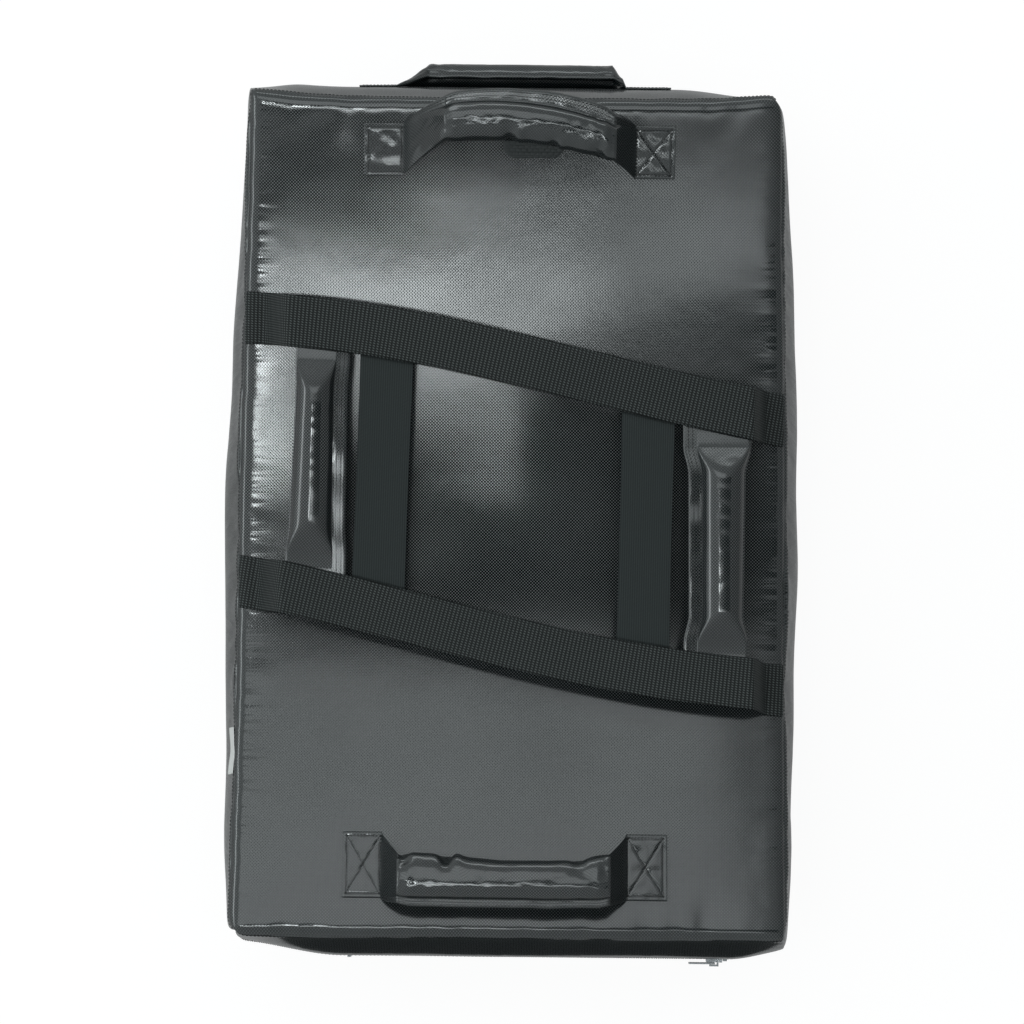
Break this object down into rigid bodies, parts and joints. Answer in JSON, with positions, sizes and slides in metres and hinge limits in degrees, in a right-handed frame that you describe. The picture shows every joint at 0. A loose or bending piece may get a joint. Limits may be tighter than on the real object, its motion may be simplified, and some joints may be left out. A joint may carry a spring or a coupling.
{
  "type": "curved strike shield",
  "caption": "Curved rectangular foam-filled strike shield with a coated fabric cover, webbing arm harness, padded hand grips, rolled carry handles and an end zip.",
  "frame": {"origin": "middle of the flat strip that the convex striking face rests on", "axes": "+X across the shield, +Y along it towards the end with the carry handle, +Z out of the holder's side"},
  "size_m": [0.4808, 0.7499, 0.2351],
  "materials": {
    "cover_fabric": "glossy coated fabric with a fine woven scrim showing through",
    "foam_filling": "matt closed-cell foam",
    "harness_webbing": "ribbed polyester webbing",
    "elastic_band": "fine-ribbed woven elastic",
    "zip_tape": "herringbone zip tape",
    "zip_teeth": "moulded nylon coil",
    "zip_metal": "plated zinc alloy",
    "label_cloth": "blank white satin tape"
  },
  "bodies": {
    "shield": {"back_panel": "cover_fabric", "strike_panel": "cover_fabric", "left_side_gusset": "cover_fabric", "right_side_gusset": "cover_fabric", "top_end_gusset": "cover_fabric", "bottom_gusset_strike_strip": "cover_fabric", "bottom_gusset_back_strip": "cover_fabric", "strike_foam": "foam_filling", "core_foam": "foam_filling", "back_foam": "foam_filling", "upper_strap": "harness_webbing", "lower_strap": "harness_webbing", "left_elastic": "elastic_band", "right_elastic": "elastic_band", "left_grip_upper_end": "cover_fabric", "left_grip_lower_end": "cover_fabric", "right_grip_upper_end": "cover_fabric", "right_grip_lower_end": "cover_fabric", "upper_handle_left_leg": "cover_fabric", "upper_handle_right_leg": "cover_fabric", "upper_handle_left_tab": "cover_fabric", "upper_handle_right_tab": "cover_fabric", "lower_handle_left_leg": "cover_fabric", "lower_handle_right_leg": "cover_fabric", "lower_handle_left_tab": "cover_fabric", "lower_handle_right_tab": "cover_fabric", "end_handle_left_leg": "cover_fabric", "end_handle_right_leg": "cover_fabric", "end_handle_left_tab": "cover_fabric", "end_handle_right_tab": "cover_fabric", "woven_patch": "harness_webbing", "zip_strike_tape": "zip_tape", "zip_back_tape": "zip_tape", "zip_strike_teeth": "zip_teeth", "zip_back_teeth": "zip_teeth", "zip_closed_stop": "zip_metal", "zip_open_stop": "zip_metal"},
    "upper_handle": {"upper_handle_wrap": "cover_fabric", "upper_handle_core": "foam_filling"},
    "lower_handle": {"lower_handle_wrap": "cover_fabric", "lower_handle_core": "foam_filling"},
    "end_handle": {"end_handle_wrap": "cover_fabric", "end_handle_core": "foam_filling"},
    "left_grip": {"left_grip_sleeve": "cover_fabric", "left_grip_core": "foam_filling"},
    "right_grip": {"right_grip_sleeve": "cover_fabric", "right_grip_core": "foam_filling"},
    "zip_slider": {"zip_slider": "zip_metal"},
    "zip_puller": {"zip_puller": "zip_metal"},
    "care_label": {"care_label": "label_cloth"}
  },
  "joints": [
    {"name": "upper_handle_swing", "type": "hinge", "parent": "shield", "child": "upper_handle", "pos_m": [0, 0.29416, 0.18708], "axis": [1, 0, 0], "range_deg": [-30, 75], "deforming": ["upper_handle_left_leg", "upper_handle_right_leg"]},
    {"name": "lower_handle_swing", "type": "hinge", "parent": "shield", "child": "lower_handle", "pos_m": [0, -0.27814, 0.18324], "axis": [1, 0, 0], "range_deg": [-85, 35], "deforming": ["lower_handle_left_leg", "lower_handle_right_leg"]},
    {"name": "end_handle_swing", "type": "hinge", "parent": "shield", "child": "end_handle", "pos_m": [0, 0.36029, 0.11974], "axis": [1, 0, 0], "range_deg": [-2, 85], "deforming": ["end_handle_left_leg", "end_handle_right_leg"]},
    {"name": "left_grip_roll", "type": "hinge", "parent": "shield", "child": "left_grip", "pos_m": [-0.1596, 0.0469, 0.19331], "axis": [0.0284, 0.9988, 0.0403], "range_deg": [-20, 20]},
    {"name": "right_grip_roll", "type": "hinge", "parent": "shield", "child": "right_grip", "pos_m": [0.16888, -0.01918, 0.19274], "axis": [-0.0029, 0.9999, -0.0152], "range_deg": [-20, 20]},
    {"name": "zip_slider_travel", "type": "slide", "parent": "shield", "child": "zip_slider", "axis": [1, 0, 0], "range_m": [-0.294, 0]},
    {"name": "zip_puller_swing", "type": "hinge", "parent": "zip_slider", "child": "zip_puller", "pos_m": [0.172, -0.36428, 0.10998], "axis": [0, 0.0456, 0.999], "range_deg": [0, 170]},
    {"name": "care_label_flap", "type": "hinge", "parent": "shield", "child": "care_label", "pos_m": [-0.22424, -0.18958, 0.15768], "axis": [-0.0017, 0.9886, -0.1503], "range_deg": [0, 100]}
  ]
}
